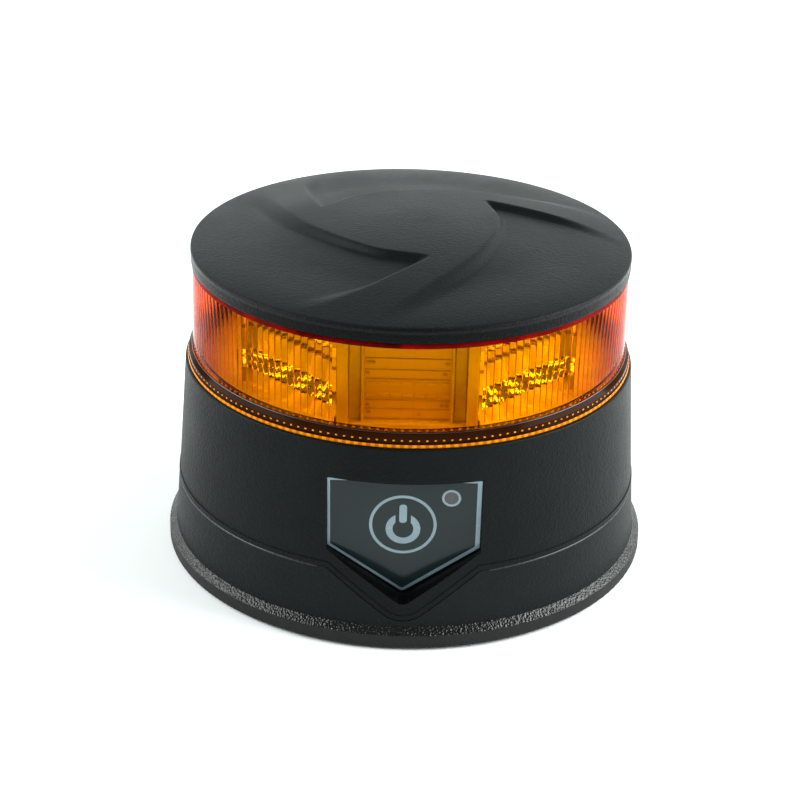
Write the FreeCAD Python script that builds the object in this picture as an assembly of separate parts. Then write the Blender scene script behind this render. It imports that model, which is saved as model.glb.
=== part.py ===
"""Battery warning beacon: a round amber flasher with a magnetic foot.

From the floor up it is a rubber-faced magnetic foot, a drafted black housing with a skirt round its
lower third, a shield-shaped control panel in the front, an amber lens with eight LED modules behind
it, and a domed cap with a raised three-armed swirl.

Frame: millimetres, +Z up, origin on the floor at the centre of the foot, control panel facing -Y.
"""
import FreeCAD
import Part
import math
import os

V = FreeCAD.Vector
UP = V(0, 0, 1)
X_AXIS = V(1, 0, 0)
ORIGIN = V(0, 0, 0)
FAR = 90.0  # reaches past every surface of the beacon

# ---------------------------------------------------------------- driving dimensions
FLANGE_R = 67.5        # widest point, the rubber foot ring
RIM_R = 61.9           # housing, outside, at its top rim
RIM_Z = 55.8
DRAFT = 1 / 15         # the housing widens by this much per mm on the way down
WALL = 2.5
PARTING_Z = 21.0       # seam between housing and skirt
SEAM_GAP = 0.25
SKIRT_PROUD = 0.15     # the skirt stands this far out of the housing's surface
SKIRT_IN_R = 62.3
SKIRT_Z = 4.0          # lower edge of the skirt
SHELF_Z = 50.0         # underside of the shelf that carries the lamp
SHELF_TOP = 53.0
LENS_R = 59.75
LENS_WALL = 2.2
LENS_Z = 54.3
CAP_R = 60.0
CAP_Z = 84.0           # lower edge of the cap, and top of the lens
CAP_EDGE_Z = 88.3
DOME = 7.7             # rise of the cap from its edge to its centre
SWIRL_DEPTH = 1.5      # how far the cap's hollows are sunk at the centre
MODULES = 8
TURN = 360 / MODULES

# shield-shaped panel, in front view: half width, shoulder height and tip height
PANEL_TOP_Z = 46.3
PANEL_TILT = 2.5       # degrees, the panel's top leans forward
PANEL_TOP_Y = -59.3
POCKET = (20.0, 26.0, 11.6, 2.6)
PANEL = (19.75, 26.15, 11.95, 2.4)
KEY_DROP = 13.7        # key centre, down the panel from its top edge
KEY_R = 8.75
KEY_THICK = 2.2
KEY_STEM = 5.4         # the key's stem ends this deep behind the panel's face
KEY_TRAVEL = 0.4
KEY_CLEAR = 0.15       # left between the stem and the switch body when the key is fully pressed
LIGHT_AT = (12.0, 5.4)  # status light, across and down the panel
LIGHT_R = 1.85
SEAL_Y = -56.2         # back of the panel plate, front of its sealing sheet
FLOOR_Y = -55.4        # pocket floor, front face
FLOOR_BACK_Y = -53.4
BOARD_Y = -50.4        # switch board, front face
BOARD = 1.6            # thickness of every circuit board

# charging port in the back
PORT_Z = 36.0
SEAT_Y = 60.5          # floor of the recess that the cover lies in
HINGE_Y = 62.2
HINGE_Z = 44.0
PIN_R = 0.8


# ---------------------------------------------------------------- helpers
def body_r(z, proud=0.0):
    """Outside radius of the drafted housing at height z."""
    return RIM_R + (RIM_Z - z) * DRAFT + proud


def polar(r, degrees, z=0.0):
    a = math.radians(degrees)
    return V(r * math.cos(a), r * math.sin(a), z)


def loop(corners, place):
    """Closed wire through corners (a, b) or (a, b, radius); place(a, b) gives the point in space."""
    pts = [V(c[0], c[1], 0) for c in corners]
    radii = [c[2] if len(c) > 2 else 0 for c in corners]
    starts, ends, middles = [], [], []
    for i, p in enumerate(pts):
        before = (pts[i - 1] - p).normalize()
        after = (pts[(i + 1) % len(pts)] - p).normalize()
        if not radii[i]:
            starts.append(p)
            ends.append(p)
            middles.append(None)
            continue
        half = before.getAngle(after) / 2
        reach = radii[i] / math.tan(half)
        bisector = (before + after).normalize()
        middle = p + bisector * (radii[i] / math.sin(half) - radii[i])
        starts.append(p + before * reach)
        ends.append(p + after * reach)
        middles.append(middle)
    made = []
    for i in range(len(pts)):
        if middles[i] is not None:
            arc = [place(q.x, q.y) for q in (starts[i], middles[i], ends[i])]
            made.append(Part.Arc(*arc).toShape())
        a, b = ends[i], starts[(i + 1) % len(pts)]
        if a.distanceToPoint(b) > 1e-6:
            made.append(Part.LineSegment(place(a.x, a.y), place(b.x, b.y)).toShape())
    return Part.Wire(made)


def lathe(corners):
    """Solid of revolution about Z from (radius, height[, corner radius]) corners."""
    wire = loop(corners, lambda r, z: V(r, 0, z))
    return Part.Face(wire).revolve(ORIGIN, UP, 360)


def front_prism(corners, y0, y1):
    """Prism along Y from y0 to y1 over an outline of (x, z[, corner radius]) corners."""
    wire = loop(corners, lambda x, z: V(x, y0, z))
    return Part.Face(wire).extrude(V(0, y1 - y0, 0))


def flat_prism(corners, z0, z1):
    """Prism along Z from z0 to z1 over an outline of (x, y[, corner radius]) corners."""
    wire = loop(corners, lambda x, y: V(x, y, z0))
    return Part.Face(wire).extrude(V(0, 0, z1 - z0))


def tube(r, z0, z1, at=ORIGIN, bore=0.0):
    made = Part.makeCylinder(r, z1 - z0, V(at.x, at.y, z0))
    if bore:
        made = made.cut(Part.makeCylinder(bore, z1 - z0 + 2, V(at.x, at.y, z0 - 1)))
    return made


def box(x0, x1, y0, y1, z0, z1):
    return Part.makeBox(x1 - x0, y1 - y0, z1 - z0, V(x0, y0, z0))


def rod(r, start, end):
    return Part.makeCylinder(r, start.distanceToPoint(end), start, end - start)


def turned(shape, degrees):
    made = shape.copy()
    made.rotate(ORIGIN, UP, degrees)
    return made


def fuse(*shapes):
    return shapes[0].fuse(list(shapes[1:])).removeSplitter()


def cut(base, *tools):
    return base.cut(list(tools))


def save(node, *shapes):
    """Writes one sub-part, as one solid or a group of separate solids."""
    solids = [s for shape in shapes for s in shape.Solids]
    made = solids[0] if len(solids) == 1 else Part.makeCompound(solids)
    if not made.isValid():
        print("NOT VALID:", node)
    made.exportStep("parts/" + node + ".step")
    print(f"{node:20s} solids {len(solids):2d}  volume {sum(s.Volume for s in solids):10.1f} mm3")


def screw(at, axis, length, r=1.5, head_r=2.8, head=1.8):
    """Pan-head screw whose head sits on the far side of point at, with its shank along axis."""
    a = V(axis).normalize()
    shape = fuse(rod(head_r, at - a * head, at), rod(r, at, at + a * length))
    socket = rod(1.1, at - a * (head + 1), at - a * (head * 0.4))
    return cut(shape, socket)


# ---------------------------------------------------------------- outlines shared by several pieces
def shield(shape, top=PANEL_TOP_Z):
    """Five-cornered panel outline in front view."""
    half, shoulder, tip, tip_r = shape
    return [(-half, top), (-half, shoulder), (0, tip, tip_r), (half, shoulder), (half, top)]


def tongue(grow=0.0):
    """V-shaped tongue of the housing that reaches down round the panel, in front view."""
    kink, tip = 20.0 + grow * 0.4, 5.6 - grow * 1.27
    return [(-kink, PARTING_Z - grow), (0, tip, 8.0 + grow), (kink, PARTING_Z - grow),
            (kink, PARTING_Z + 6), (-kink, PARTING_Z + 6)]


def on_panel(across, down, depth=0.0):
    """Point on the tilted panel face, across and down from its top edge, depth into the body."""
    t = math.radians(PANEL_TILT)
    y = PANEL_TOP_Y + down * math.sin(t) + depth * math.cos(t)
    z = PANEL_TOP_Z - down * math.cos(t) + depth * math.sin(t)
    return V(across, y, z)


def cone_solid(z0, z1, proud=0.0, edge=0.0):
    """Solid drafted body between two heights, its top edge rounded."""
    return lathe([(0, z0), (body_r(z0, proud), z0), (body_r(z1, proud), z1, edge) if edge
                  else (body_r(z1, proud), z1), (0, z1)])


# ---------------------------------------------------------------- foot
BASE_SCREW_R, BASE_SCREW_ANGLES = 54.0, (20, 160, 200, 340)


def make_foot():
    ring = lathe([(59.9, 0.4), (FLANGE_R, 0.4, 0.9), (FLANGE_R, 4.3, 0.35), (body_r(5.9, 0.2), 5.9),
                  (body_r(SKIRT_Z, 0.2), SKIRT_Z), (59.9, SKIRT_Z)])
    save("foot_ring", ring)

    plate = lathe([(45.7, 1.5), (59.8, 1.5), (59.8, 4.0), (61.8, 4.0), (61.8, 6.0), (48.0, 6.0),
                   (48.0, 8.0), (0, 8.0), (0, 6.0), (45.7, 6.0)])
    groove = tube(61.0, 5.0, 6.5, bore=59.9)
    holes = [tube(1.6, 0, 10, polar(BASE_SCREW_R, a)) for a in BASE_SCREW_ANGLES]
    sinks = [tube(3.1, 0, 3.5, polar(BASE_SCREW_R, a)) for a in BASE_SCREW_ANGLES]
    pilots = [tube(1.1, 6.6, 9, V(x, y, 0)) for x in (-41, 41) for y in (-14, 14)]
    save("base_plate", cut(plate, groove, *holes, *sinks, *pilots))
    save("base_seal", tube(61.0, 5.0, 6.0, bore=59.9))

    spots = [polar(32, k * 45) for k in range(8)] + [V(0, 0, 0)]
    pad = lathe([(0, 0), (50.0, 0, 0.5), (50.0, 1.5, 0.3), (45.5, 1.5), (45.5, 4.4), (0, 4.4)])
    treads = [tube(r + 0.6, -1, 0.35, bore=r - 0.6) for r in (22, 30, 38, 45)]
    pockets = [tube(10.0, 1.6, 5, p) for p in spots]
    save("foot_pad", cut(pad, *treads, *pockets))
    save("magnets", *[tube(10.0, 1.6, 4.4, p) for p in spots])
    save("keeper_plate", tube(45.5, 4.4, 6.0))
    save("base_screws", *[screw(polar(BASE_SCREW_R, a, 3.5), UP, 14) for a in BASE_SCREW_ANGLES])


def make_skirt():
    top_r = body_r(PARTING_Z, SKIRT_PROUD)
    skirt = lathe([(SKIRT_IN_R, SKIRT_Z), (body_r(SKIRT_Z, SKIRT_PROUD), SKIRT_Z),
                   (top_r, PARTING_Z - 0.3), (top_r - 0.3, PARTING_Z), (SKIRT_IN_R, PARTING_Z)])
    save("base_skirt", cut(skirt, front_prism(tongue(SEAM_GAP), -FAR, 0)))


# ---------------------------------------------------------------- housing
DRIVER_POST_R = 41.0
TOWER_SCREW_R, TOWER_SCREW_ANGLES = 39.4, (22.5, 112.5, 202.5, 292.5)
PORT_RECESS = [(-11, 29, 1.5), (11, 29, 1.5), (11, 42.5), (6.3, 42.5), (6.3, 45.8, 1.0),
               (-6.3, 45.8, 1.0), (-6.3, 42.5), (-11, 42.5)]


def housing_outside():
    """Outer form: drafted body above the seam, tongue round the panel, plain wall behind the skirt."""
    whole = cone_solid(6.0, RIM_Z, edge=0.5)
    above = whole.common(tube(FAR, PARTING_Z, FAR))
    in_front = whole.common(front_prism(tongue(), -FAR, 0))
    behind_skirt = tube(SKIRT_IN_R - 0.15, 6.0, PARTING_Z + 1)
    lip_ring = cone_solid(PARTING_Z, PARTING_Z + 1.4, 0.2)
    band = cone_solid(6.5, PARTING_Z + 1.4, 0.2)
    band = band.common(front_prism(tongue(), -FAR, 0)).cut(front_prism(tongue(-1.3), -FAR, 0))
    lip_ring = lip_ring.cut(front_prism(tongue(-1.3), -FAR, 0))
    return fuse(above, in_front, behind_skirt, lip_ring, band)


def port_block():
    """Thicker wall inside the back that the charging port is cut into, with a guide rail each side."""
    block = box(-14, 14, 56, 61, 27, 48).common(cone_solid(6.0, RIM_Z))
    rails = [box(x - 1.6, x + 1.6, 42, 57, 31.0, 36.0) for x in (-10.4, 10.4)]
    return fuse(block, *rails)


def charge_board_plan(grow=0.0):
    """The charging circuit board, which slides between the two rails."""
    top = PORT_Z - 1.6
    half, r = 10.0 + grow, 1.0
    corners = [(-half, 41, r), (half, 41, r), (half, 55.5 + grow, r), (-half, 55.5 + grow, r)]
    return flat_prism(corners, top - BOARD - grow, top + grow)


def hinge_ears():
    """Two lugs beside the cover's knuckle that hold its pin."""
    ears = []
    for x0, x1 in ((-8.8, -6.3), (6.3, 8.8)):
        eye = rod(1.5, V(x0, HINGE_Y, HINGE_Z), V(x1, HINGE_Y, HINGE_Z))
        ears.append(eye.fuse(box(x0, x1, SEAT_Y - 0.2, HINGE_Y, HINGE_Z - 1.5, HINGE_Z + 1.5)))
    return ears


def make_housing():
    shell = housing_outside()
    below = lathe([(0, 5), (59.6, 5), (59.6, PARTING_Z), (RIM_R - WALL, SHELF_Z), (0, SHELF_Z)])
    pocket_wall = front_prism(shield((22.2, 24.9, 8.7, 4.0), 48.3), -FAR, FLOOR_BACK_Y)
    pocket_wall = pocket_wall.common(cone_solid(6.0, RIM_Z))
    above = lathe([(0, SHELF_TOP), (61.15, SHELF_TOP), (61.15, FAR), (0, FAR)])
    shell = cut(shell, below, above, tube(36.0, SHELF_Z - 1, SHELF_TOP + 1))
    bosses = [tube(3.6, 6.0, 30, polar(BASE_SCREW_R, a)) for a in BASE_SCREW_ANGLES]
    webs = [turned(box(56, 60.5, -1.2, 1.2, 6.0, 30), a) for a in BASE_SCREW_ANGLES]
    posts = [tube(2.8, 44.8, SHELF_Z + 1, polar(DRIVER_POST_R, a)) for a in (45, 135, 225, 315)]
    shell = fuse(shell, pocket_wall, port_block(), *bosses, *webs, *posts)
    pilots = [tube(1.5, 5, 22, polar(BASE_SCREW_R, a)) for a in BASE_SCREW_ANGLES]
    pilots += [tube(1.25, 44, SHELF_Z + 1.5, polar(DRIVER_POST_R, a)) for a in (45, 135, 225, 315)]
    pilots += [tube(1.3, SHELF_Z - 1, SHELF_TOP + 1, polar(TOWER_SCREW_R, a)) for a in TOWER_SCREW_ANGLES]
    stem_hole = rod(5.0, on_panel(0, KEY_DROP), on_panel(0, KEY_DROP, 12))
    light_hole = rod(LIGHT_R + 0.1, on_panel(*LIGHT_AT), on_panel(*LIGHT_AT, 12))
    pocket = front_prism(shield(POCKET), -FAR, FLOOR_Y)
    recess = front_prism(PORT_RECESS, SEAT_Y, FAR)
    scoop = front_prism([(-5, 30), (-4.2, 26.6, 1.5), (4.2, 26.6, 1.5), (5, 30)], 62.0, FAR)
    mouth = front_prism([(-6.7, 32.2, 2), (6.7, 32.2, 2), (6.7, 39.8, 2), (-6.7, 39.8, 2)], 57.5, FAR)
    shell_hole = front_prism(usb_outline(0.15), 50, FAR)
    hinge_hole = rod(PIN_R, V(-9, HINGE_Y, HINGE_Z), V(9, HINGE_Y, HINGE_Z))
    standoffs = [rod(2.2, V(x, FLOOR_BACK_Y - 0.5, z), V(x, BOARD_Y, z)) for x, z in PANEL_SCREWS]
    screw_holes = [rod(1.0, V(x, BOARD_Y + 1, z), V(x, -54.4, z)) for x, z in PANEL_SCREWS]
    shell = cut(fuse(shell, *standoffs), pocket, recess, scoop, mouth)
    shell = fuse(shell, *hinge_ears())
    shell = cut(shell, shell_hole, hinge_hole, stem_hole, light_hole, charge_board_plan(0.1),
                *pilots, *screw_holes)
    save("housing", shell)


# ---------------------------------------------------------------- control panel
PANEL_SCREWS = ((-12.5, 41.0), (12.5, 26.5))


def make_panel():
    plate = front_prism(shield(PANEL, PANEL_TOP_Z - 0.15), -64, SEAL_Y)
    ahead = Part.makeBox(60, 20, 60, V(-30, -20, -50))
    ahead.rotate(ORIGIN, X_AXIS, PANEL_TILT)
    ahead.translate(on_panel(0, 0))
    key_hole = rod(KEY_R + 0.1, on_panel(0, KEY_DROP, -6), on_panel(0, KEY_DROP, 8))
    light_hole = rod(LIGHT_R + 0.05, on_panel(*LIGHT_AT, -6), on_panel(*LIGHT_AT, 8))
    save("panel_plate", cut(plate, ahead, key_hole, light_hole))

    seal = front_prism(shield(PANEL, PANEL_TOP_Z - 0.15), SEAL_Y, FLOOR_Y)
    seal_key = rod(KEY_R + 0.5, on_panel(0, KEY_DROP), on_panel(0, KEY_DROP, 8))
    save("panel_seal", cut(seal, seal_key, light_hole))

    key = fuse(rod(KEY_R, on_panel(0, KEY_DROP), on_panel(0, KEY_DROP, KEY_THICK)),
               rod(2.2, on_panel(0, KEY_DROP, KEY_THICK), on_panel(0, KEY_DROP, KEY_STEM)))
    save("power_key", key)
    save("switch_plunger", rod(1.6, on_panel(0, KEY_DROP, KEY_STEM), on_panel(0, KEY_DROP, 7.2)))
    front = KEY_STEM + KEY_TRAVEL + KEY_CLEAR
    body = rod(3.4, on_panel(0, KEY_DROP, front), on_panel(0, KEY_DROP, 8.15))
    hollow = rod(1.66, on_panel(0, KEY_DROP, 5.0), on_panel(0, KEY_DROP, 7.8))
    save("tact_switch", cut(body, hollow))

    light = rod(LIGHT_R, on_panel(*LIGHT_AT), on_panel(*LIGHT_AT, 7.4))
    save("status_light_pipe", light)
    seat = on_panel(*LIGHT_AT, 7.5)
    save("status_led", box(seat.x - 1.1, seat.x + 1.1, BOARD_Y - 1.0, BOARD_Y, seat.z - 1, seat.z + 1))

    board = front_prism([(-16, 22, 1), (16, 22, 1), (16, 45, 1), (-16, 45, 1)], BOARD_Y, BOARD_Y + BOARD)
    holes = [rod(1.1, V(x, -60, z), V(x, -40, z)) for x, z in PANEL_SCREWS]
    save("switch_board", cut(board, *holes))
    back = BOARD_Y + BOARD
    save("switch_board_screws", *[screw(V(x, back, z), V(0, -1, 0), 4.6, 1.0, 1.9, 1.2)
                                  for x, z in PANEL_SCREWS])


# ---------------------------------------------------------------- charging port
def usb_outline(grow=0.0):
    half_w, half_h = 4.47 + grow, 1.6 + grow
    z0, z1, r = PORT_Z - half_h, PORT_Z + half_h, half_h * 0.95
    return [(-half_w, z0, r), (half_w, z0, r), (half_w, z1, r), (-half_w, z1, r)]


def make_port():
    shell = cut(front_prism(usb_outline(), 50.2, 57.5), front_prism(usb_outline(-0.3), 51.2, 58))
    tongue_bar = box(-3.3, 3.3, 51.1, 56.6, PORT_Z - 0.35, PORT_Z + 0.35)
    save("charge_socket", fuse(shell, tongue_bar))
    board_top = PORT_Z - 1.6
    chip = box(-2.5, 2.5, 43.0, 47.0, board_top, board_top + 1.0)
    save("charge_board", fuse(charge_board_plan(), chip))

    back = SEAT_Y + 0.3
    leaf = front_prism([(-10.7, 29.3, 1.3), (10.7, 29.3, 1.3), (10.7, 42.2, 0.6), (-10.7, 42.2, 0.6)],
                       back, FAR).common(cone_solid(6.0, RIM_Z, 0.3))
    web = box(-6.0, 6.0, back, HINGE_Y + 0.6, 42.0, HINGE_Z)
    knuckle = rod(1.4, V(-6, HINGE_Y, HINGE_Z), V(6, HINGE_Y, HINGE_Z))
    bung = front_prism([(-6.1, 32.9, 1.8), (6.1, 32.9, 1.8), (6.1, 39.1, 1.8), (-6.1, 39.1, 1.8)],
                       59.4, back + 0.5)
    pull = front_prism([(-3.4, 30), (-3.4, 27.4, 1.2), (3.4, 27.4, 1.2), (3.4, 30)], 62.3, 63.8)
    bore = rod(PIN_R + 0.06, V(-7, HINGE_Y, HINGE_Z), V(7, HINGE_Y, HINGE_Z))
    save("port_cover", cut(fuse(leaf, web, knuckle, bung, pull), bore))
    save("port_hinge_pin", rod(PIN_R, V(-8.8, HINGE_Y, HINGE_Z), V(8.8, HINGE_Y, HINGE_Z)))


# ---------------------------------------------------------------- power and control inside the housing
CELL_R, CELL_LENGTH, CELL_Z = 9.2, 65.0, 19.1


def make_power():
    half = CELL_LENGTH / 2
    xs = [(k - 1.5) * (2 * CELL_R + 0.2) for k in range(4)]
    save("battery_cells", *[fuse(rod(CELL_R, V(x, -half, CELL_Z), V(x, half - 1, CELL_Z)),
                                 rod(3.0, V(x, half - 1, CELL_Z), V(x, half, CELL_Z))) for x in xs])
    tray = box(-39, 39, -34.5, 34.5, 8.0, 26)
    hollow = box(-37.4, 37.4, -33.0, 33.0, 9.8, 30)
    ears = [box(x0, x1, y - 4, y + 4, 8.0, 9.8) for x0, x1 in ((-44, -38), (38, 44)) for y in (-14, 14)]
    holes = [tube(1.2, 7, 12, V(x, y, 0)) for x in (-41, 41) for y in (-14, 14)]
    save("battery_tray", cut(fuse(cut(tray, hollow), *ears), *holes))
    save("battery_screws", *[screw(V(x, y, 9.8), V(0, 0, -1), 3.0, 1.1, 1.9, 1.3)
                             for x in (-41, 41) for y in (-14, 14)])
    pairs = ((xs[0], xs[1]), (xs[2], xs[3]))
    tabs = [box(a - 4, b + 4, y0, y1, CELL_Z - 4, CELL_Z + 4)
            for a, b in pairs for y0, y1 in ((-half - 0.3, -half), (half, half + 0.3))]
    save("cell_tabs", *tabs)


def make_driver():
    z0, z1 = 43.2, 44.8
    board = tube(46.0, z0, z1)
    holes = [tube(1.3, 40, 46, polar(DRIVER_POST_R, a)) for a in (45, 135, 225, 315)]
    save("driver_board", cut(board, tube(6.0, 40, 46), *holes))
    save("driver_screws", *[screw(polar(DRIVER_POST_R, a, z0), UP, 6.2, 1.25, 2.3, 1.5)
                            for a in (45, 135, 225, 315)])
    parts = [tube(4.0, 33.0, z0, V(x, 22, 0)) for x in (-14, 14)]
    parts += [box(x - 5, x + 5, -27, -17, 39.2, z0) for x in (-16, 16)]
    parts += [box(-4, 4, -27, -19, 41.8, z0), box(20, 30, -3, 3, 37.5, z0), box(-30, -20, -3, 3, 37.5, z0)]
    save("driver_components", *parts)


# ---------------------------------------------------------------- lamp
TOWER_APOTHEM, TOWER_TOP = 38.0, 81.6
OPTIC_BACK, OPTIC_FRONT = 39.6, 45.0
LEAD_R, LEAD_Z = 30.0, 60.8  # lamp leads: how far out they rise, and how high they turn outward
OPTIC_Z = (53.4, 81.2)


def octagon(apothem):
    r = apothem / math.cos(math.pi / MODULES)
    return [(polar(r, (k + 0.5) * TURN).x, polar(r, (k + 0.5) * TURN).y) for k in range(MODULES)]


def make_tower():
    column = flat_prism(octagon(TOWER_APOTHEM), SHELF_TOP, TOWER_TOP)
    inside = flat_prism(octagon(TOWER_APOTHEM - 3), SHELF_TOP - 1, 78.6)
    fins = [turned(box(28, 36, -0.8, 0.8, SHELF_TOP, 78.6), k * TURN + TURN / 2) for k in range(MODULES)]
    holes = [tube(1.25, SHELF_TOP - 1, 60, polar(TOWER_SCREW_R, a)) for a in TOWER_SCREW_ANGLES]
    holes += [tube(1.6, 70, 90, polar(26, a)) for a in (45, 135, 225, 315)]
    holes += [turned(rod(1.4, V(33, 0, LEAD_Z), V(40, 0, LEAD_Z)), k * TURN) for k in range(MODULES)]
    opening = tube(8.0, 70, 90)
    tower = fuse(cut(column, inside), *fins)
    save("led_tower", cut(tower, opening, *holes))
    save("tower_screws", *[screw(polar(TOWER_SCREW_R, a, SHELF_Z), UP, 9.0, 1.25, 2.5, 1.6)
                           for a in TOWER_SCREW_ANGLES])
    save("cap_screws", *[screw(polar(26, a, 78.6), UP, 11.0, 1.5, 2.8, 2.0) for a in (45, 135, 225, 315)])


def make_modules():
    emitters = []
    for k in range(MODULES):
        a = k * TURN - 90
        board = box(TOWER_APOTHEM, TOWER_APOTHEM + BOARD, -14.5, 14.5, 55.5, 80.0)
        save(f"led_board_{k + 1}", turned(board, a))
        face = TOWER_APOTHEM + BOARD
        emitters += [turned(box(face, face + 0.9, y - 1.75, y + 1.75, 67.5, 71.0), a) for y in (-9, 0, 9)]
        half_back, half_front = OPTIC_BACK * 0.41, OPTIC_FRONT * 0.41
        body = flat_prism([(OPTIC_BACK, -half_back), (OPTIC_FRONT, -half_front),
                           (OPTIC_FRONT, half_front), (OPTIC_BACK, half_back)], *OPTIC_Z)
        dish = flat_prism([(OPTIC_BACK + 1.2, -12.9), (OPTIC_FRONT + 1, -15.6),
                           (OPTIC_FRONT + 1, 15.6), (OPTIC_BACK + 1.2, 12.9)],
                          OPTIC_Z[0] + 1.6, OPTIC_Z[1] - 1.6)
        windows = [box(OPTIC_BACK - 1, OPTIC_FRONT, y - 2.2, y + 2.2, 67.0, 71.5) for y in (-9, 0, 9)]
        save(f"optic_{k + 1}", turned(cut(body, dish, *windows), a))
    save("led_emitters", *emitters)


def make_lens():
    inner = LENS_R - LENS_WALL
    lens = lathe([(56.3, LENS_Z), (61.05, LENS_Z), (61.05, 57.0, 0.15), (60.75, 57.15), (60.95, 57.3),
                  (60.95, 58.8, 0.25), (60.1, 59.7, 0.3), (LENS_R, 60.4, 0.3), (59.6, CAP_Z),
                  (50.0, CAP_Z), (50.0, 82.0), (inner - 0.1, 82.0, 0.3), (inner, 58.0), (56.3, 57.0)])
    save("lens", lens)
    save("lens_seal", tube(60.9, SHELF_TOP, LENS_Z, bore=56.3))


# ---------------------------------------------------------------- cap
def dome(rise, z):
    """Spherical cap solid over radius CAP_R, rising from height z."""
    r = (CAP_R ** 2 + rise ** 2) / (2 * rise)
    ball = Part.makeSphere(r, V(0, 0, z + rise - r))
    return ball.common(tube(CAP_R, z, z + rise + 1))


def hollow_outline():
    """Plan of one swirl hollow: a long arc, a straight run out from its tip, and the way round the rim."""
    tip = V(3.6, -26.3, 0)
    long_arc = Part.Arc(V(-47, 42, 0), V(-25.5, -9.5, 0), tip).toShape()
    short_arc = Part.Arc(tip, V(-10.8, -38.9, 0), V(-34, -52, 0)).toShape()
    out = V(-90, -75, 0)
    back = V(-90, 60, 0)
    lines = [Part.LineSegment(V(-34, -52, 0), out).toShape(), Part.LineSegment(out, back).toShape(),
             Part.LineSegment(back, V(-47, 42, 0)).toShape()]
    return Part.Wire([long_arc, short_arc] + lines)


def make_cap():
    disc = lathe([(0, CAP_Z), (CAP_R, CAP_Z, 0.3), (CAP_R, CAP_EDGE_Z + 0.05), (0, CAP_EDGE_Z + 0.05)])
    high, low = dome(DOME, CAP_EDGE_Z), dome(DOME - SWIRL_DEPTH, CAP_EDGE_Z)
    sinks = []
    for k in range(3):
        region = Part.Face(hollow_outline()).extrude(V(0, 0, 120))
        sinks.append(turned(region, k * 120))
    raised = cut(high, low)
    raised = cut(raised, *sinks)
    solid = fuse(disc, low, raised)
    under = dome(DOME - SWIRL_DEPTH - 0.6, CAP_EDGE_Z - 2.3).common(tube(50.0, 0, 120))
    under = fuse(under, tube(50.0, CAP_Z - 1, CAP_EDGE_Z - 1.9))
    bosses = [tube(3.4, TOWER_TOP, 91, polar(26, a)) for a in (45, 135, 225, 315)]
    pilots = [tube(1.5, 80, 90.4, polar(26, a)) for a in (45, 135, 225, 315)]
    groove = tube(57.0, CAP_Z - 1, CAP_Z + 1.0, bore=55.0)
    save("top_cap", cut(fuse(cut(solid, under, groove), *bosses), *pilots))
    save("cap_seal", tube(57.0, CAP_Z, CAP_Z + 1.0, bore=55.0))


# ---------------------------------------------------------------- leads
def lead(points, r):
    """Insulated wire along straight runs joined by tangent arcs."""
    pts = [V(*p) for p in points]
    edges, at = [], pts[0]
    for i in range(1, len(pts) - 1):
        before, after = (pts[i - 1] - pts[i]), (pts[i + 1] - pts[i])
        run = min(before.Length, after.Length)
        before.normalize()
        after.normalize()
        reach = 0.45 * run
        half = before.getAngle(after) / 2
        radius = reach * math.tan(half)
        middle = pts[i] + (before + after).normalize() * (radius / math.sin(half) - radius)
        a, b = pts[i] + before * reach, pts[i] + after * reach
        edges.append(Part.LineSegment(at, a).toShape())
        edges.append(Part.Arc(a, middle, b).toShape())
        at = b
    edges.append(Part.LineSegment(at, pts[-1]).toShape())
    path = Part.Wire(edges)
    start = Part.Wire(Part.makeCircle(r, pts[0], pts[1] - pts[0]))
    made = path.makePipeShell([start], True, True)
    print("  lead length", round(path.Length, 1), "volume ratio",
          round(made.Volume / (math.pi * r * r * path.Length), 3))
    return made


def make_leads():
    save("battery_leads", *[lead([(x, 32.3, 23.2), (x, 32.3, 30.0), (x * 0.86, 31.2, 36.6),
                                  (x * 0.86, 31.2, 43.2)], 0.6) for x in (-14.0, 14.0)])
    save("charge_leads", *[lead([(x, 43.0, 34.4), (x, 43.0, 37.2), (x, 40.2, 40.0), (x, 40.2, 43.2)], 0.5)
                           for x in (4.5, 6.5)])
    save("panel_leads", *[lead([(x, -48.8, 36.5), (x, -44.6, 36.5), (x, -41.6, 39.4), (x, -41.6, 43.2)], 0.4)
                          for x in (-2.4, -0.8, 0.8, 2.4)])
    rise = [(LEAD_R, 0, 44.8), (LEAD_R, 0, LEAD_Z), (TOWER_APOTHEM, 0, LEAD_Z)]
    save("lamp_leads", *[turned(lead(rise, 0.6), k * TURN) for k in range(MODULES)])


def main():
    os.makedirs("parts", exist_ok=True)
    for step in (make_foot, make_skirt, make_housing, make_panel, make_port, make_power, make_driver,
                 make_tower, make_modules, make_lens, make_cap, make_leads):
        step()


main()
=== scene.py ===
"""Looks of the battery warning beacon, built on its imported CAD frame.

Everything is in metres in the CAD frame: +Z up, the foot on z = 0, the control panel facing -Y.
"""
import math

import bmesh
import bpy
import numpy as np
from mathutils import Matrix, Vector


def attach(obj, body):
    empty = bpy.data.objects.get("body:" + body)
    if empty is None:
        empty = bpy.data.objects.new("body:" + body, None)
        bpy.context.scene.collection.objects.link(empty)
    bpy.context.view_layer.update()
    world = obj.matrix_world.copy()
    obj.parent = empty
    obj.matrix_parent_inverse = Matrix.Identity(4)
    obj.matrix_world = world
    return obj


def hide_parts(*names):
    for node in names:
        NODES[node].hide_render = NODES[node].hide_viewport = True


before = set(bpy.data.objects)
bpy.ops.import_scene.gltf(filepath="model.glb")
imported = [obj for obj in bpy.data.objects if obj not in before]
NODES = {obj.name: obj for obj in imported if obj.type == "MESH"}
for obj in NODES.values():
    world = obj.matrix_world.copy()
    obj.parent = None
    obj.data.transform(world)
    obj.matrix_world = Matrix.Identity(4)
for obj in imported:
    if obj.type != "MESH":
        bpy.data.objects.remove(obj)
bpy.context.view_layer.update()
MM = 0.001

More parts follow.
